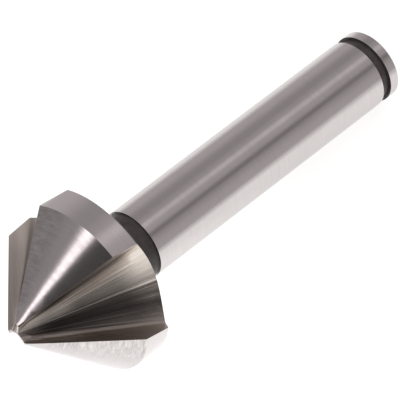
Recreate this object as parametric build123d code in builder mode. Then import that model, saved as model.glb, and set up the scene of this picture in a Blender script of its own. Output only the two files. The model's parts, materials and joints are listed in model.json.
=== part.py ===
from build123d import *
from math import asin, atan2, cos, degrees, radians, sin, tan
import os

# Three-flute countersink bit, ground from one bar of high-speed steel.
# It is made along +Z, from the tip to the end of the shank, and then laid down as it comes to rest.
# All sizes are in mm, and all angles in degrees.

# Head: a cone with a blunt tip, a short cylindrical band and a tapered back
head_diameter = 25.0
tip_diameter = 3.8
point_angle = 90.0
band_length = 4.05
back_taper_width = 4.0
back_taper_angle = 31.0

# Neck, left as it was turned
neck_diameter = 9.5
neck_length = 3.96
neck_fillet = 0.8

# Shank with a groove and a collar at its end
overall_length = 67.0
shank_diameter = 10.0
groove_diameter = 9.2
groove_width = 1.45
collar_length = 1.65
edge_break = 0.25

# Centre hole in the shank's end, which the bit was ground on
centre_mouth_diameter = 4.0
centre_angle = 60.0
centre_drill_diameter = 1.9
centre_drill_depth = 4.4

# Flutes, each described with its middle pointing along +X
flute_count = 3
rake_lean = 9.4
rake_tilt = 14.4
rake_past_centre = 1.18
heel_lean = 35.0
heel_tilt = 8.6
heel_past_centre = 0.65
floor_at_tip = 0.2
depth_at_rim = 2.71
tip_floor_angle = 14.0
rim_floor_angle = 10.7
hollow_at_tip = 0.15
hollow_at_rim = 2.4
root_radius = 0.9
cutter_overrun = 0.8

# Relief: the cone of each tooth is ground about an axis this far beside the bit's own
relief_offset = 0.23

# Heights of the head's edges above the tip, and radii
head_radius = head_diameter / 2
tip_radius = tip_diameter / 2
back_radius = head_radius - back_taper_width
cone_slope = tan(radians(point_angle / 2))
cone_length = (head_radius - tip_radius) / cone_slope
band_end = cone_length + band_length
back_end = band_end + back_taper_width * tan(radians(back_taper_angle))

# Heights along the shank
neck_radius = neck_diameter / 2
shank_radius = shank_diameter / 2
groove_radius = groove_diameter / 2
shank_start = back_end + neck_length
groove_end = overall_length - collar_length
groove_start = groove_end - groove_width

# Turned blank: the whole outline spun around the axis, with the centre hole in its end
with BuildPart() as blank:
    with BuildSketch(Plane.XZ) as half_outline:
        with BuildLine() as outline:
            Polyline(
                (0, 0),
                (tip_radius, 0),
                (head_radius, cone_length),
                (head_radius, band_end),
                (back_radius, back_end),
                (neck_radius, back_end),
                (neck_radius, shank_start),
                (shank_radius, shank_start),
                (shank_radius, groove_start),
                (groove_radius, groove_start),
                (groove_radius, groove_end),
                (shank_radius, groove_end),
                (shank_radius, overall_length),
                (0, overall_length),
                close=True,
            )
        make_face()
        behind_head = half_outline.vertices().sort_by_distance((neck_radius, back_end))[0]
        fillet(behind_head, neck_fillet)
        end_edge = half_outline.vertices().sort_by_distance((shank_radius, overall_length))[0]
        chamfer(end_edge, edge_break)
    revolve(axis=Axis.Z)
    with Locations(Plane.XY.offset(overall_length)):
        CounterSinkHole(
            radius=centre_drill_diameter / 2,
            counter_sink_radius=centre_mouth_diameter / 2,
            depth=centre_drill_depth,
            counter_sink_angle=centre_angle,
        )


def rake_offset(height):
    """How far the rake face stands past the axis at this height."""
    return rake_past_centre + height * tan(radians(rake_tilt))


def heel_offset(height):
    """How far the heel wall stands behind the axis at this height."""
    return heel_past_centre - height * tan(radians(heel_tilt))


def rake_edge_angle(height):
    """Angle, around the axis, of the cutting edge where the head is this high and at its full radius."""
    return rake_lean + degrees(asin(rake_offset(height) * cos(radians(rake_lean)) / head_radius))


def heel_edge_angle(height):
    """Angle of the heel's edge at the same place."""
    return -heel_lean - degrees(asin(heel_offset(height) * cos(radians(heel_lean)) / head_radius))


def between(at_tip, at_rim, height):
    """A size that changes evenly from the tip to the rim of the head."""
    return at_tip + (at_rim - at_tip) * height / band_end


def flute_corners(height):
    """Corners of the flute across the tool: heel top, heel foot, root and rake top."""
    floor = between(floor_at_tip, head_radius - depth_at_rim, height)
    turn = tan(radians(between(tip_floor_angle, rim_floor_angle, height)))
    heel = tan(radians(heel_lean))
    rake = tan(radians(rake_lean))
    foot = (floor + turn * heel_offset(height)) / (1 - turn * heel)
    root = (floor - turn * rake_offset(height)) / (1 + turn * rake)
    outside = 2 * head_radius
    return (
        (outside, -heel_offset(height) - outside * heel),
        (foot, -heel_offset(height) - foot * heel),
        (root, rake_offset(height) + root * rake),
        (outside, rake_offset(height) + outside * rake),
    )


# One flute's cutter, from a section ahead of the tip to a larger one behind the back; its floor is hollow
with BuildPart() as flute_cutter:
    for height in (-cutter_overrun, back_end + cutter_overrun):
        with BuildSketch(Plane.XY.offset(height)) as section:
            heel_top, heel_foot, root, rake_top = flute_corners(height)
            with BuildLine() as walls:
                SagittaArc(heel_foot, root, between(hollow_at_tip, hollow_at_rim, height))
                Polyline(root, rake_top, heel_top, heel_foot)
            make_face()
            root_corner = section.vertices().sort_by_distance(root)[0]
            fillet(root_corner, root_radius)
    loft(ruled=True)

# What the relief takes off one tooth: everything outside its own cone, from flute middle to flute middle.
# The cone is moved square to the cutting edge, so the tooth keeps its size there and drops towards its heel.
pitch = 360 / flute_count
relief_direction = rake_edge_angle(cone_length) - 90
relief_x = relief_offset * cos(radians(relief_direction))
relief_y = relief_offset * sin(radians(relief_direction))
with BuildPart() as relief_cutter:
    with BuildSketch(Plane.XY):
        with BuildLine():
            Polyline(
                (0, 0),
                (2 * head_radius, 0),
                Vector(2 * head_radius, 0).rotate(Axis.Z, pitch / 2),
                Vector(2 * head_radius, 0).rotate(Axis.Z, pitch),
                close=True,
            )
        make_face()
    extrude(amount=band_end)
    with Locations((relief_x, relief_y, 0)):
        Cone(
            bottom_radius=tip_radius,
            top_radius=tip_radius + band_end * cone_slope,
            height=band_end,
            align=(Align.CENTER, Align.CENTER, Align.MIN),
            mode=Mode.SUBTRACT,
        )

# The bit: three teeth relieved and three flutes ground out of the blank
with BuildPart() as ground_bit:
    add(blank.part)
    with PolarLocations(0, flute_count):
        add(relief_cutter.part, mode=Mode.SUBTRACT)
        add(flute_cutter.part, mode=Mode.SUBTRACT)

# At rest one flute lies downwards: the bit stands on the edges of that flute and on the shank's end
flute_middle = (rake_edge_angle(band_end) + heel_edge_angle(band_end)) / 2
half_flute = radians(rake_edge_angle(band_end) - heel_edge_angle(band_end)) / 2
end_support = overall_length - edge_break
dip = atan2(head_radius * cos(half_flute) - shank_radius, end_support - band_end)
lying_axis = Plane((0, 0, 0), x_dir=(-sin(dip), 0, -cos(dip)), z_dir=(cos(dip), 0, -sin(dip)))
resting_attitude = lying_axis.location * Rotation(0, 0, -flute_middle)
resting_box = ground_bit.part.moved(resting_attitude).bounding_box()
onto_ground = Pos(-resting_box.center().X, -resting_box.center().Y, -resting_box.min.Z)
with BuildPart() as countersink_bit:
    with Locations(onto_ground * resting_attitude):
        add(ground_bit.part)
countersink_bit.part.label = "countersink_bit"

os.makedirs("parts", exist_ok=True)
export_step(countersink_bit.part, "parts/countersink_bit.step")
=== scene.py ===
# %% [markdown]
# A three-flute countersink bit, lying on a pale table
#
# The bit is one piece of high-speed steel. A lathe turns the blank, and grinding wheels finish almost
# all that shows: the shank, the band of the head, the cone of each tooth and the three flutes. Only
# the neck, the narrow groove and the back of the head keep the dark skin that hardening leaves.
# The solid comes ready from its CAD model. This script gives each ground surface its own finish,
# closes the tip with a small web, and then sets up the table, the room and the camera.

# %% Load the solid
import json
import math

import bpy
from mathutils import Matrix, Vector


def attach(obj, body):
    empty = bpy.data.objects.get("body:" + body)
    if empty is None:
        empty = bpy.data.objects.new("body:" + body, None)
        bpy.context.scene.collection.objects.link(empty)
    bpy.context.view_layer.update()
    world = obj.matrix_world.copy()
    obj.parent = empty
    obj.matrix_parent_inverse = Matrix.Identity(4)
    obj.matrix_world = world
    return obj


MM = 0.001
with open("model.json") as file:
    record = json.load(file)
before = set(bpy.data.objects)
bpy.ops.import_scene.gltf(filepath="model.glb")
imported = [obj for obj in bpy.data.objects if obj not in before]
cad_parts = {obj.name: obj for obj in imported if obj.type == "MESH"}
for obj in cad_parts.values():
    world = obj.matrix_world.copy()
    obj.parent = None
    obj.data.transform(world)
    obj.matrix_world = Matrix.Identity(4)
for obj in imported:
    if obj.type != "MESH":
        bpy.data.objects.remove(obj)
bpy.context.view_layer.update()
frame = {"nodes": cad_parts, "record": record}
bit = frame["nodes"]["countersink_bit"]
mounts = {mount["name"]: mount for mount in frame["record"]["mounts"]}

# %% [markdown]
# The bit's own axis
#
# Every mark on this tool follows its axis: the grinding lines run around it, and the flutes run along
# it. The bit lies a little nose-up, so world axes would draw those marks askew. We could rotate each
# texture by hand, but an empty on the axis is easier to read: its Z runs from the tip to the end of
# the shank, its X points down into the flute that faces the table, and materials can take their
# coordinates from it.

# %% Put an empty on the axis
axis_direction = Vector(mounts["shank"]["axis"]).normalized()
shank_end = Vector(mounts["shank_end"]["pos_m"])
along = [(v.co - shank_end).dot(axis_direction) for v in bit.data.vertices]
overall_length = max(along) - min(along)
tip_point = shank_end - overall_length * axis_direction
sideways = Vector((0, 1, 0))
downwards = sideways.cross(axis_direction)

bit_axis = bpy.data.objects.new("bit_axis", None)
bit_axis.empty_display_size = 10 * MM
bpy.context.scene.collection.objects.link(bit_axis)
turned = Matrix((downwards, sideways, axis_direction)).transposed()
bit_axis.matrix_world = Matrix.Translation(tip_point) @ turned.to_4x4()
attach(bit_axis, "root")
to_axis = bit_axis.matrix_world.inverted()
print("length along the axis:", round(overall_length / MM, 2), "mm, tip at",
      [round(c / MM, 2) for c in tip_point])

# %% [markdown]
# Where one finish ends and the next begins
#
# The edges between the finishes are edges of the solid, so we read them from it instead of typing
# them in: the shank's ends from its mount, and the head's rim from the vertices furthest out.

# %% Measure the edges between the finishes
shank_radius = mounts["shank"]["dims"]["r_mm"]
shank_length = mounts["shank"]["dims"]["length_mm"]
shank_middle = (Vector(mounts["shank"]["pos_m"]) - tip_point).dot(axis_direction) / MM
shank_start = shank_middle - shank_length / 2
groove_start = shank_middle + shank_length / 2
heights = [(a + overall_length) / MM for a in along]
radii = [(to_axis @ v.co).to_2d().length / MM for v in bit.data.vertices]
head_radius = max(radii)
NEAR_RIM = 0.02
rim_heights = [h for h, r in zip(heights, radii) if r > head_radius - NEAR_RIM]
cone_end, band_end = min(rim_heights), max(rim_heights)
print("head radius", round(head_radius, 2), "band from", round(cone_end, 2), "to",
      round(band_end, 2), "shank from", round(shank_start, 2), "to", round(groove_start, 2))

# %% [markdown]
# Which polygon is which
#
# The solid is one mesh, but the real tool has several finishes. Each polygon tells where it belongs by
# three numbers: its height above the tip, its distance from the axis, and how its normal leans. We
# could select them by hand in edit mode, but a rule can be read, and it still works when a size of
# the bit changes.

# %% Sort the polygons into zones
PAST_EDGE = 0.02      # mm beyond an edge that puts a polygon on its far side
ON_SHANK = 0.3        # mm off the shank's radius that still counts as its surface
ON_CONE = 0.35        # the same on the head, where the relief drops each tooth a little
NECK_ROOM = 1.5       # mm outside the shank's radius that the neck and its fillet take
# How far a normal leans along the axis on the end, on the back of the head and on the band, and
# how far it leans outwards on the collar and on the head
END_ALONG, BACK_ALONG, BAND_ALONG = 0.9, 0.5, 0.3
COLLAR_OUT, HEAD_OUT = 0.5, 0.6


def zone_of(polygon):
    """The finish that a polygon belongs to, from where it lies and how it faces."""
    centre = to_axis @ polygon.center / MM
    normal = to_axis.to_3x3() @ polygon.normal
    height = centre.z
    radius = centre.to_2d().length
    outward = normal.to_2d().dot(centre.to_2d()) / max(radius, 1e-6)
    if height > groove_start + PAST_EDGE:
        if normal.z > END_ALONG or radius < shank_radius / 2:
            return "end_face"
        on_collar = abs(radius - shank_radius) < ON_SHANK and outward > COLLAR_OUT
        return "shank" if on_collar else "dark"
    if height > shank_start - PAST_EDGE:
        return "shank"
    behind_band = height > band_end + PAST_EDGE
    if behind_band and (normal.z > BACK_ALONG or radius < shank_radius + NECK_ROOM):
        return "dark"
    outline_radius = min(head_radius, head_radius - (cone_end - height))
    on_outside = abs(radius - outline_radius) < ON_CONE and outward > HEAD_OUT
    if behind_band or not on_outside:
        return "flute"
    return "band" if height > cone_end and abs(normal.z) < BAND_ALONG else "land"


zones = [zone_of(polygon) for polygon in bit.data.polygons]
print({zone: zones.count(zone) for zone in sorted(set(zones))})

# %% [markdown]
# Helpers for nodes
#
# Each finish below is a handful of nodes. We could join them in the shader editor, but these helpers
# add a node, wire it and set its fields in one line, so that a material reads like a recipe.


# %% Add and wire nodes
def add_node(tree, kind, inputs=(), **fields):
    """Adds a node, sets its fields, and links or sets each input that is given."""
    node = tree.nodes.new(kind)
    for name, value in fields.items():
        setattr(node, name, value)
    for name, value in dict(inputs).items():
        if isinstance(value, bpy.types.NodeSocket):
            tree.links.new(value, node.inputs[name])
        else:
            node.inputs[name].default_value = value
    return node


def maths(tree, operation, first, second=0.0):
    """One step of arithmetic on two values or sockets."""
    return add_node(tree, "ShaderNodeMath", {0: first, 1: second}, operation=operation).outputs[0]


def vector_maths(tree, operation, first, by=None, scale=None):
    """One step of arithmetic on a vector, with another vector or with a scale."""
    given = {0: first, 1: by, "Scale": scale}
    inputs = {name: value for name, value in given.items() if value is not None}
    return add_node(tree, "ShaderNodeVectorMath", inputs, operation=operation).outputs


def total_of(tree, *parts):
    """Adds up values, each multiplied by its share."""
    products = [maths(tree, "MULTIPLY", value, share) for value, share in parts]
    total = products[0]
    for product in products[1:]:
        total = maths(tree, "ADD", total, product)
    return total


print("helpers for nodes are ready")

# %% [markdown]
# Helpers for finishes
#
# All finishes start alike: metal, coordinates in millimetres along the bit's axis, and noise drawn out
# in the direction of the grinding. Noise mostly lies between 0.3 and 0.7, so spread stretches that
# part over the range that we want.

# %% Start a finish and draw its marks
NOISE_LOW, NOISE_HIGH = 0.3, 0.7


def new_material(name, metallic):
    """An empty material with its shader on the output, and how much of a metal it is."""
    material = bpy.data.materials.new(name)
    material.use_nodes = True
    tree = material.node_tree
    tree.nodes.clear()
    shader = add_node(tree, "ShaderNodeBsdfPrincipled", {"Metallic": metallic})
    output = add_node(tree, "ShaderNodeOutputMaterial")
    tree.links.new(shader.outputs["BSDF"], output.inputs["Surface"])
    return material, tree, shader


def axis_coordinates(tree):
    """Coordinates in mm along the bit's own axis: x and y across it, z from the tip."""
    place = add_node(tree, "ShaderNodeTexCoord", object=bit_axis).outputs["Object"]
    return vector_maths(tree, "SCALE", place, scale=1 / MM)[0]


def stretched_noise(tree, place, stretch, detail=4.0, roughness=0.6):
    """Noise drawn out along an axis: a large number in stretch gives short features that way."""
    moved = vector_maths(tree, "MULTIPLY", place, by=stretch)[0]
    noise = add_node(tree, "ShaderNodeTexNoise",
                     {"Vector": moved, "Scale": 1.0, "Detail": detail, "Roughness": roughness})
    return noise.outputs["Fac"]


def spread(tree, value, low, high):
    """Maps noise to a range of values."""
    mapped = add_node(tree, "ShaderNodeMapRange",
                      {"Value": value, "From Min": NOISE_LOW, "From Max": NOISE_HIGH,
                       "To Min": low, "To Max": high})
    return mapped.outputs["Result"]


def shade(tree, noise, dark, light):
    """A colour between two shades, chosen by noise."""
    mix = add_node(tree, "ShaderNodeMix", {"Factor": spread(tree, noise, 0.0, 1.0)}, data_type="RGBA")
    mix.inputs["A"].default_value = (*dark, 1)
    mix.inputs["B"].default_value = (*light, 1)
    return mix.outputs["Result"]


def bump_from(tree, value, depth_mm=1.0):
    """Turns a value into relief that is this deep, in mm."""
    bump = add_node(tree, "ShaderNodeBump", {"Height": value, "Distance": depth_mm * MM})
    return bump.outputs["Normal"]


finishes = {}
print("helpers for finishes are ready")

# %% [markdown]
# Which way the grinding marks run
#
# Such fine parallel marks smear a reflection across themselves and keep it crisp along them. A metal
# shader with anisotropy does that, if its tangent follows the marks. A UV map could give the tangent,
# but the solid has none, so we take the cross product of the axis and the place: it runs around the
# axis everywhere.


# %% Find the direction around the axis
def around_the_axis(tree):
    """A direction around the bit's axis at every point, for the shader's tangent."""
    position = add_node(tree, "ShaderNodeNewGeometry").outputs["Position"]
    from_tip = vector_maths(tree, "SUBTRACT", position, by=tuple(tip_point))[0]
    crossed = vector_maths(tree, "CROSS_PRODUCT", tuple(axis_direction), by=from_tip)[0]
    return vector_maths(tree, "NORMALIZE", crossed)[0]


QUARTER_TURN = 0.25
print("tangent runs around", [round(c, 3) for c in axis_direction])

# %% [markdown]
# Shank, band and end
#
# The shank, the collar at its end and the band of the head were ground while the tool turned, so their
# marks are fine rings. Modelled rings would cost far too many polygons, so noise with very short
# features along the axis draws them: it changes the shade and the gloss a little and gives the
# faintest relief. The turned end face has the same recipe with coarser marks.

# %% A finish for surfaces ground in the round
STEEL = (0.62, 0.59, 0.585)
FINE_RINGS = (0.25, 0.25, 14.0)
CLOUDS = (0.35, 0.35, 0.25)
GLOSS_RANGE = 0.04


def round_ground(name, ring_mm, contrast, roughness, anisotropy, mark_depth, at_the_edge=1.0,
                 lift=1.0):
    """Steel ground around its axis: rings this far apart, a little uneven in shade and gloss."""
    material, tree, shader = new_material(name, metallic=1.0)
    place = axis_coordinates(tree)
    fine_rings = stretched_noise(tree, place, FINE_RINGS, detail=5.0)
    broad_rings = stretched_noise(tree, place, (0.12, 0.12, 1.0 / ring_mm), detail=3.0)
    clouds = stretched_noise(tree, place, CLOUDS, detail=3.0)
    mixed = total_of(tree, (fine_rings, 0.35), (broad_rings, 0.35), (clouds, 0.3))
    dark, light = ([c * (lift + change) for c in STEEL] for change in (-contrast, contrast))
    gloss = spread(tree, mixed, roughness + GLOSS_RANGE, roughness - GLOSS_RANGE)
    tree.links.new(shade(tree, mixed, dark, light), shader.inputs["Base Color"])
    tree.links.new(gloss, shader.inputs["Roughness"])
    tree.links.new(bump_from(tree, fine_rings, mark_depth), shader.inputs["Normal"])
    tree.links.new(around_the_axis(tree), shader.inputs["Tangent"])
    shader.inputs["Specular Tint"].default_value = (at_the_edge, at_the_edge, at_the_edge, 1.0)
    shader.inputs["Anisotropic"].default_value = anisotropy
    shader.inputs["Anisotropic Rotation"].default_value = QUARTER_TURN
    return material


finishes["shank"] = round_ground("ground_shank", 0.30, 0.05, 0.19, 0.5, 0.0003, at_the_edge=0.9)
finishes["band"] = round_ground("ground_band", 0.30, 0.04, 0.20, 0.5, 0.0002, lift=1.06)
finishes["end_face"] = round_ground("turned_end", 0.25, 0.12, 0.30, 0.3, 0.002)
print("round finishes:", sorted(finishes))

# %% [markdown]
# Three flutes as one
#
# The head repeats three times around the axis. We could make each flute's finish by itself, but it is
# simpler to fold the angle: a modulo brings every point to the nearest flute, and one recipe then
# serves all three. The angle is 0 in the middle of a flute and grows towards the cutting edge.

# %% Fold the flutes onto one
FLUTES = 3


def around_the_flutes(tree, place):
    """Angle from the nearest flute's middle in degrees, distance from the axis, and height."""
    x, y, height = add_node(tree, "ShaderNodeSeparateXYZ", {0: place}).outputs
    pitch = 2 * math.pi / FLUTES
    angle = maths(tree, "ADD", maths(tree, "ARCTAN2", y, x), pitch / 2)
    folded = maths(tree, "SUBTRACT", maths(tree, "FLOORED_MODULO", angle, pitch), pitch / 2)
    across = add_node(tree, "ShaderNodeCombineXYZ", {"X": x, "Y": y}).outputs[0]
    radius = vector_maths(tree, "LENGTH", across)["Value"]
    return maths(tree, "MULTIPLY", folded, math.degrees(1)), radius, height


def between(tree, value, low, high, at_low=0.0, at_high=1.0):
    """Blends smoothly from one number to another while a value goes from low to high."""
    mapped = add_node(tree, "ShaderNodeMapRange",
                      {"Value": value, "From Min": low, "From Max": high,
                       "To Min": at_low, "To Max": at_high}, interpolation_type="SMOOTHSTEP")
    return mapped.outputs["Result"]


print("flutes folded:", FLUTES, "at", 360 / FLUTES, "degrees")

# %% [markdown]
# Cones of the teeth
#
# The cone of each tooth is ground like the shank, but the wheel chatters where it comes off at the
# cutting edge and leaves short, coarser marks there. A second material on those polygons would end in
# a hard line. We multiply the coarse noise by a blend over the angle instead, so that it fades out.

# %% A finish for the cones
MARKS_FADE, MARKS_FULL, MARKS_LEFT = 56.0, 34.0, 0.12
MARKS_ON_SHADE, MARKS_ON_GLOSS = -0.32, 0.08
MARKS_RELIEF, RINGS_RELIEF = 0.0008, 0.0004


def cone_ground(name):
    """Steel ground around the cone, with coarser marks beside the cutting edge."""
    material, tree, shader = new_material(name, metallic=1.0)
    place = axis_coordinates(tree)
    angle, _, _ = around_the_flutes(tree, place)
    by_the_edge = maths(tree, "MULTIPLY", maths(tree, "GREATER_THAN", angle, 0.0),
                        between(tree, angle, MARKS_FADE, MARKS_FULL, MARKS_LEFT, 1.0))
    fine_rings = stretched_noise(tree, place, (0.3, 0.3, 9.0), detail=5.0)
    coarse = stretched_noise(tree, place, (0.6, 0.6, 3.2), detail=5.0, roughness=0.75)
    clouds = stretched_noise(tree, place, (0.4, 0.4, 0.3), detail=3.0)
    soft = total_of(tree, (fine_rings, 0.45), (coarse, 0.3), (clouds, 0.25))
    marks = maths(tree, "MULTIPLY", spread(tree, coarse, -1.0, 1.0), by_the_edge)
    steel = shade(tree, soft, [c * 0.86 for c in STEEL], [c * 1.11 for c in STEEL])
    tone = maths(tree, "ADD", 1.0, maths(tree, "MULTIPLY", marks, MARKS_ON_SHADE))
    gloss = maths(tree, "ADD", spread(tree, soft, 0.20, 0.13),
                  maths(tree, "MULTIPLY", marks, MARKS_ON_GLOSS))
    relief = total_of(tree, (fine_rings, RINGS_RELIEF), (marks, MARKS_RELIEF))
    toned = vector_maths(tree, "SCALE", steel, scale=tone)[0]
    tree.links.new(toned, shader.inputs["Base Color"])
    tree.links.new(gloss, shader.inputs["Roughness"])
    tree.links.new(bump_from(tree, relief), shader.inputs["Normal"])
    tree.links.new(around_the_axis(tree), shader.inputs["Tangent"])
    shader.inputs["Anisotropic"].default_value = 0.4
    shader.inputs["Anisotropic Rotation"].default_value = QUARTER_TURN
    return material


finishes["land"] = cone_ground("ground_cone")
print("cone finish:", finishes["land"].name)

# %% [markdown]
# Painted light and shade in a flute
#
# A wheel grinds each flute from the tip towards the back of the head, so its faces and edges fan out
# from the tip, and so do the bright and dark streaks that the hollow faces mirror. They are painted
# into the steel's colour: painted shade in the line along the heel and over the darker hollow floor,
# a painted highlight on the ridge beside the floor. To place them, we divide how far a point lies to
# the side by its distance from the tip. That number stays the same all along one streak. Each streak
# is then a strip of it, in some part of the flute, that makes the steel lighter or darker.

# %% List the painted light and shade across a flute
RIDGE = (0.015, 0.035, 0.045, 0.06)
FLUTE_LIGHT_AND_SHADE = [
    # start, full, fading and gone across the fan; where along the flute; lighter (painted highlight) or
    # darker (painted shade)
    # Rows that darken paint shade and rows that lighten paint highlights, for what the hollow faces
    # mirror of the table, the room and the next tooth. The ridge is also a real crease, drawn as relief
    # in flute_ground.
    ((-0.405, -0.38, -0.36, -0.335), ["before_rim"], -0.5),               # line along the heel
    ((-0.43, -0.38, -0.29, -0.22), ["front_half"], -0.40),                # foot of the heel
    (RIDGE, [], 0.42),                                                    # ridge beside the floor
    ((-0.18, -0.08, 0.02, 0.07), ["front_half"], 0.36),                   # start of the ridge
    ((-0.38, -0.46), ["back_half"], 0.28),                                # heel wall
    ((-0.36, -0.28, -0.22, -0.14), ["back_half", "before_rim"], 0.34),    # light side of the floor
    ((-0.20, -0.07, 0.29, 0.37), ["before_rim", "past_tip"], -0.58),      # dark floor
    ((0.17, 0.22, 0.28, 0.33), ["rim"], -0.38),                           # its end at the rim
    ((0.26, 0.34), ["before_rim"], -0.20),                                # rake face
    ((0.30, 0.38), ["front_half"], 0.36),                                 # rake face by the tip
    ((-0.60, -0.45, -0.12, 0.0), ["tip"], 0.40),                          # heel wall by the tip
]


def strip(tree, value, start, full, fading=None, gone=None):
    """1 inside a strip of values, with soft sides; without an end it goes on to the wall."""
    inside = between(tree, value, start, full)
    if fading is None:
        return inside
    return maths(tree, "MULTIPLY", inside, between(tree, value, gone, fading))


def parts_of_flute(tree, height):
    """Where along the flute each painted streak of light or shade shows, each as a value from 0 to 1.
    """
    rim = between(tree, height, 12.6, 16.5)
    return {
        "tip": between(tree, height, 4.5, 1.0),
        "past_tip": between(tree, height, 0.8, 4.0, 0.35, 1.0),
        "front_half": between(tree, height, 8.0, 5.0),
        "back_half": between(tree, height, 9.0, 12.5),
        "before_rim": maths(tree, "SUBTRACT", 1.0, rim),
        "rim": rim,
    }


print("marks in a flute:", len(FLUTE_LIGHT_AND_SHADE))

# %% [markdown]
# Flutes
#
# The finish itself is streaky steel, browner than the shank because the wheel runs hot in the flute.
# Noise over the same fan number gives streaks that run the right way by themselves. The painted
# highlights and shade from the list then lighten and darken it, and the whole flute is painted darker
# towards the tip, where the teeth shade it, and lighter at the open rim. They could be painted on a
# texture, but a list needs no image, stays sharp from close by and is easy to change.

# %% A finish for the flutes
HOT_DARK, HOT_LIGHT = (0.55, 0.50, 0.455), (0.69, 0.63, 0.575)
FAN_START = 1.5
# Painted shade at the tip, where the teeth hide the room, and painted light at the open rim
PAINTED_SHADE_AT_TIP, PAINTED_LIGHT_AT_RIM = 0.78, 1.12


def painted_flute_light_and_shade(tree, fan, height):
    """How much the steel's colour is painted lighter or darker at each place in the flute, as light and
    shade.
    """
    where = parts_of_flute(tree, height)
    # The colour is painted darker towards the tip and lighter towards the rim, as shade and light there
    tone = between(tree, height, 2.0, 16.0, PAINTED_SHADE_AT_TIP, PAINTED_LIGHT_AT_RIM)
    # Each row of the list paints a streak of highlight or shade into the colour
    for across, parts, amount in FLUTE_LIGHT_AND_SHADE:
        painted_streak = strip(tree, fan, *across)
        for part in parts:
            painted_streak = maths(tree, "MULTIPLY", painted_streak, where[part])
        tone = maths(tree, "ADD", tone, maths(tree, "MULTIPLY", painted_streak, amount))
    return tone


def flute_ground(name):
    """Steel ground lengthwise in a flute: streaks that fan out from the tip, with painted light and
    shade.
    """
    material, tree, shader = new_material(name, metallic=1.0)
    angle, radius, height = around_the_flutes(tree, axis_coordinates(tree))
    sine = maths(tree, "SINE", maths(tree, "MULTIPLY", angle, math.radians(1)))
    side = maths(tree, "MULTIPLY", radius, sine)
    fan = maths(tree, "DIVIDE", side, maths(tree, "ADD", height, FAN_START))
    drawn_out = maths(tree, "MULTIPLY", height, 0.02)
    place = add_node(tree, "ShaderNodeCombineXYZ", {"X": fan, "Z": drawn_out}).outputs[0]
    fine = stretched_noise(tree, place, (42.0, 1.0, 1.0), detail=4.0)
    broad = stretched_noise(tree, place, (11.0, 1.0, 1.0), detail=3.0)
    steel = shade(tree, total_of(tree, (fine, 0.35), (broad, 0.65)), HOT_DARK, HOT_LIGHT)
    toned = vector_maths(tree, "SCALE", steel, scale=painted_flute_light_and_shade(tree, fan, height))[0]
    relief = total_of(tree, (fine, 0.006), (broad, 0.12), (strip(tree, fan, *RIDGE), 0.02))
    tree.links.new(toned, shader.inputs["Base Color"])
    tree.links.new(spread(tree, fine, 0.32, 0.25), shader.inputs["Roughness"])
    tree.links.new(bump_from(tree, relief), shader.inputs["Normal"])
    tree.links.new(around_the_axis(tree), shader.inputs["Tangent"])
    shader.inputs["Anisotropic"].default_value = 0.6
    return material


finishes["flute"] = flute_ground("ground_flute")
print("flute finish:", finishes["flute"].name)

# %% [markdown]
# Neck, groove and back of the head
#
# The wheel never reaches the neck, the narrow groove or the back of the head. They keep the thin,
# nearly black skin from hardening over fine turning rings. A plain black would look like paint. So
# the skin is partly a metal, has patches of brown, and takes its relief from the rings.


# %% A finish for the dark skin
def dark_skin(name):
    """Blackened steel with faint turning rings and a patchy brown tone."""
    material, tree, shader = new_material(name, metallic=0.4)
    place = axis_coordinates(tree)
    rings = stretched_noise(tree, place, (0.3, 0.3, 9.0), detail=4.0)
    patches = stretched_noise(tree, place, (0.9, 0.9, 0.9), detail=3.0)
    brown_black = shade(tree, patches, (0.040, 0.034, 0.033), (0.062, 0.053, 0.051))
    tree.links.new(brown_black, shader.inputs["Base Color"])
    tree.links.new(spread(tree, patches, 0.34, 0.44), shader.inputs["Roughness"])
    tree.links.new(bump_from(tree, rings, 0.003), shader.inputs["Normal"])
    shader.inputs["Specular IOR Level"].default_value = 0.2
    return material


finishes["dark"] = dark_skin("hardening_skin")
print("skin finish:", finishes["dark"].name)

# %% [markdown]
# Put the finishes on
#
# A mesh can carry several materials, and each polygon holds the number of its own. Splitting the
# solid into one object for each finish would do as well, but the bit is one piece and stays one.

# %% Give every polygon its finish
bit.data.materials.clear()
order = sorted(finishes)
for zone in order:
    bit.data.materials.append(finishes[zone])
for polygon, zone in zip(bit.data.polygons, zones):
    polygon.material_index = order.index(zone)
print("slots on the bit:", order)

# %% [markdown]
# The web at the tip
#
# Where the three flutes meet, grinding leaves a thin web that joins the teeth, like a small star whose
# front shines. It is only about 3 mm across and finer than the flutes' own cuts, so it is added here: a
# star with three arms, each reaching to the inner corner of a tooth, narrow in front and thicker where
# it sinks into the flutes. We could extrude and scale a flat star by hand. Listing its corners at both
# ends, and letting from_pydata join them, says its sizes plainly.

# %% Work out the web's corners
WEB_ANGLE = 63.0
WEB_REACH = 1.45
WEB_DEPTH = 1.4
WEB_SET_BACK = 0.02
FRONT_HALF, BACK_HALF = 0.14, 0.34


def star_corners(height, half_width):
    """Corners of the star at this height above the tip, in mm around the bit's axis."""
    corners = []
    for arm in range(FLUTES):
        turn = math.radians(WEB_ANGLE + arm * 360 / FLUTES)
        inner = turn + math.pi / FLUTES
        out = Vector((math.cos(turn), math.sin(turn), 0))
        aside = Vector((-math.sin(turn), math.cos(turn), 0)) * half_width
        notch = half_width / math.sin(math.pi / FLUTES)
        corners += [WEB_REACH * out - aside, WEB_REACH * out + aside,
                    Vector((math.cos(inner), math.sin(inner), 0)) * notch]
    return [corner + Vector((0, 0, height)) for corner in corners]


front = star_corners(WEB_SET_BACK, FRONT_HALF)
back = star_corners(WEB_SET_BACK + WEB_DEPTH, BACK_HALF)
print("corners of the web:", len(front), "in front and", len(back), "behind")

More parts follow.
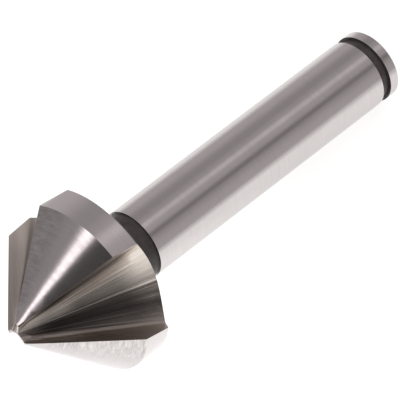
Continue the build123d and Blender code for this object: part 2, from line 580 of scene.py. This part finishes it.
# %% Build the web
count = len(front)
front_face = tuple(reversed(range(count)))
back_face = tuple(range(count, 2 * count))
sides = [(i, i + count, (i + 1) % count + count, (i + 1) % count) for i in range(count)]
web_mesh = bpy.data.meshes.new("tip_web")
web_mesh.from_pydata([corner * MM for corner in front + back], [], [front_face, back_face] + sides)
web_mesh.update()
web_mesh.materials.append(finishes["flute"])
web_mesh.materials.append(finishes["land"])
web_mesh.polygons[0].material_index = 1
web = bpy.data.objects.new("tip_web", web_mesh)
bpy.context.scene.collection.objects.link(web)
web.matrix_world = bit_axis.matrix_world.copy()
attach(web, "root")
print("web at the tip:", len(web_mesh.polygons), "faces")

# %% [markdown]
# Table
#
# The bit lies on a sheet of pale acrylic that is lit from below, as for a catalogue picture: the light
# takes the shadows away, and the undersides of the tool mirror it. A lamp beneath a see-through sheet
# would be slow and noisy to render. A sheet that glows by itself looks the same: its own colour is a
# dark grey, and the glow gives nearly all of its paleness. It glows
# most under the head and fades to a light grey outside the picture, so that the edges of the shank
# don't mirror a white that is too strong.

# %% Make the table
TABLE_RADIUS = 0.3
UNDER_HEAD, UNDER_BIT = (-0.015, -0.003, 0.0), (-0.002, -0.002, 0.0)
GLOW_AT_HEAD, GLOW_AWAY, GLOW_REACH = 1.10, 0.885, 0.035
FADE_START, FADE_END, FADED_BY = 0.046, 0.085, 0.32


def opal_table(name):
    """Dark grey matt acrylic with a fine tooth, made pale by a glow that stands in for light from
    below, most strongly under the head.
    """
    material, tree, shader = new_material(name, metallic=0.0)
    place = add_node(tree, "ShaderNodeTexCoord").outputs["Object"]
    grain = stretched_noise(tree, place, (900.0, 900.0, 900.0), detail=3.0)
    from_head = vector_maths(tree, "DISTANCE", place, by=UNDER_HEAD)["Value"]
    from_bit = vector_maths(tree, "DISTANCE", place, by=UNDER_BIT)["Value"]
    glow = maths(tree, "SUBTRACT",
                 between(tree, from_head, 0.0, GLOW_REACH, GLOW_AT_HEAD, GLOW_AWAY),
                 between(tree, from_bit, FADE_START, FADE_END, 0.0, FADED_BY))
    tree.links.new(shade(tree, grain, [0.14] * 3, [0.16] * 3), shader.inputs["Base Color"])
    tree.links.new(spread(tree, grain, 0.62, 0.7), shader.inputs["Roughness"])
    tree.links.new(bump_from(tree, grain, 0.01), shader.inputs["Normal"])
    tree.links.new(glow, shader.inputs["Emission Strength"])
    shader.inputs["Emission Color"].default_value = (1.0, 0.983, 0.977, 1.0)
    shader.inputs["Specular IOR Level"].default_value = 0.2
    return material


bpy.ops.mesh.primitive_circle_add(vertices=128, radius=TABLE_RADIUS, fill_type="NGON",
                                  location=(0, 0, 0))
table = bpy.context.object
table.name = "table"
table.data.materials.append(opal_table("opal_acrylic"))
print("table:", 2 * TABLE_RADIUS, "m across")

# %% [markdown]
# The room
#
# Bare metal shows little colour of its own: it shows the room. So the room is half of the finish
# here. Real softboxes and black cards could stand around the bit, but each one would also light the
# table. We shade the world instead: a grey room with soft round patches, lighter ones for lamps and
# windows and darker ones for cards, each given by its direction, its inner and outer angle, and how
# much it adds. The narrow bright one draws the white stripe on the cone. The patches were fitted by
# measured tones to one view, so they are not a record of a real studio.

# %% List the lamps and cards in the room
GREY_ROOM = 0.36
ROOM_PATCHES = [
    # azimuth and elevation, inner and outer angle, brightness
    (92, 52, 2, 9, 0.17),        # light stripe along the shank
    (82, 51, 3, 18, 0.09),       # its soft side
    (112, 56, 0, 22, 0.13),      # glow beside the stripe
    (106, 64, 2, 14, 0.07),
    (24, 44, 2, 13, 0.05),       # faint glow on the far side
    (150, 0, 8, 38, 0.15),       # pale walls at the right and the left
    (30, 0, 8, 40, 0.18),
    (-72.6, 36, 4.4, 6.4, 1.4),  # softbox that draws the white stripe on the cone
    (-69.5, 36, 2, 8.5, 0.45),
    (131, 39, 1, 9, -0.15),      # card for the dark line along the shank
    (-30, 8, 5, 30, -0.07),
    (-128, 25, 33, 48, -0.28),   # dark side behind the camera
    (-160, 24, 10, 30, -0.05),
    (90, 82, 5, 25, -0.12),      # dark ceiling
]


def direction(azimuth, elevation):
    """A unit vector towards this azimuth, in degrees from +Y towards +X, and elevation."""
    a, e = math.radians(azimuth), math.radians(elevation)
    return Vector((math.sin(a) * math.cos(e), math.cos(a) * math.cos(e), math.sin(e)))


def patch(tree, towards, azimuth, elevation, inner, outer):
    """1 within this many degrees of a direction, falling to 0 at the outer angle."""
    middle = tuple(direction(azimuth, elevation))
    aligned = vector_maths(tree, "DOT_PRODUCT", towards, by=middle)["Value"]
    return between(tree, aligned, math.cos(math.radians(outer)), math.cos(math.radians(inner)))


print("patches in the room:", len(ROOM_PATCHES))

# %% [markdown]
# What the room does
#
# A photographer would light the table and the metal apart, with flags and screens. A Light Path node
# does that here: the metal mirrors the patchy room, everything else gets an even soft white, and the
# camera sees a plain backdrop. Importance sampling of the world mixes those up, so it is turned off.

# %% Set up the room
BACKDROP, SOFT_WHITE = 0.72, 1.2
WARM = (1.0, 0.93, 0.945, 1)
WHITE = (1.0, 1.0, 1.0, 1)

world = bpy.data.worlds.new("room")
bpy.context.scene.world = world
world.use_nodes = True
room = world.node_tree
room.nodes.clear()
towards = add_node(room, "ShaderNodeTexCoord").outputs["Generated"]
patches = [(patch(room, towards, *place), amount) for *place, amount in ROOM_PATCHES]
brightness = maths(room, "ADD", GREY_ROOM, total_of(room, *patches))


def background(colour, strength):
    """Light of one colour from all around."""
    return add_node(room, "ShaderNodeBackground", {"Color": colour, "Strength": strength}).outputs[0]


def either(ray, otherwise, for_ray):
    """One light for a kind of ray, and another for the rest."""
    kinds = add_node(room, "ShaderNodeLightPath").outputs
    return add_node(room, "ShaderNodeMixShader", {0: kinds[ray], 1: otherwise, 2: for_ray}).outputs[0]


lit = either("Is Glossy Ray", background(WHITE, SOFT_WHITE), background(WARM, brightness))
seen = either("Is Camera Ray", lit, background(WHITE, BACKDROP))
add_node(room, "ShaderNodeOutputWorld", {"Surface": seen})
world.cycles.sampling_method = "NONE"
print("room:", len(room.nodes), "nodes")

# %% [markdown]
# Lamp
#
# One large soft lamp high above adds an even light on the table and the dark skin. In the metal it
# would mirror as a white square, so it is hidden from glossy rays. The Standard view transform keeps
# the table a clean white, as in the photograph.

# %% Hang the lamp
LAMP_SIDE, LAMP_DISTANCE, LAMP_WATTS = 1.0, 1.2, 6.0

high_light = bpy.data.lights.new("high_lamp", "AREA")
high_light.shape = "SQUARE"
high_light.size = LAMP_SIDE
high_light.energy = LAMP_WATTS
high_lamp = bpy.data.objects.new("high_lamp", high_light)
bpy.context.scene.collection.objects.link(high_lamp)
high_lamp.location = direction(-60, 80) * LAMP_DISTANCE
high_lamp.rotation_euler = (-high_lamp.location).to_track_quat("-Z", "Y").to_euler()
high_lamp.visible_glossy = False
bpy.context.scene.view_settings.view_transform = "Standard"
print("lamp at", [round(c, 2) for c in high_lamp.location], "m")

# %% [markdown]
# Camera
#
# A catalogue picture is taken from some way off with a long lens, which keeps the two ends of the tool
# nearly the same size. The camera looks down on the lying bit from the tip's side and is turned a
# little about its own axis. Its direction is given as azimuth and elevation, which are easier to
# judge than three turning angles.

# %% Place the camera
LOOK_AT = Vector((-1.73, -1.49, 10.27)) * MM
CAMERA_DISTANCE = 0.5006
CAMERA_AZIMUTH, CAMERA_ELEVATION, CAMERA_ROLL = -135.2, 54.445, -1.7

camera_data = bpy.data.cameras.new("catalogue_camera")
camera_data.lens = 346.96
camera_data.sensor_width = 36.0
camera_data.clip_end = 10.0
camera = bpy.data.objects.new("catalogue_camera", camera_data)
bpy.context.scene.collection.objects.link(camera)
view_direction = -direction(CAMERA_AZIMUTH, CAMERA_ELEVATION)
camera.location = LOOK_AT - CAMERA_DISTANCE * view_direction
roll = Matrix.Rotation(math.radians(CAMERA_ROLL), 3, "Z")
aim = view_direction.to_track_quat("-Z", "Y").to_matrix() @ roll
camera.rotation_euler = aim.to_euler()
bpy.context.scene.camera = camera
print("camera at", [round(c, 3) for c in camera.location], "m")
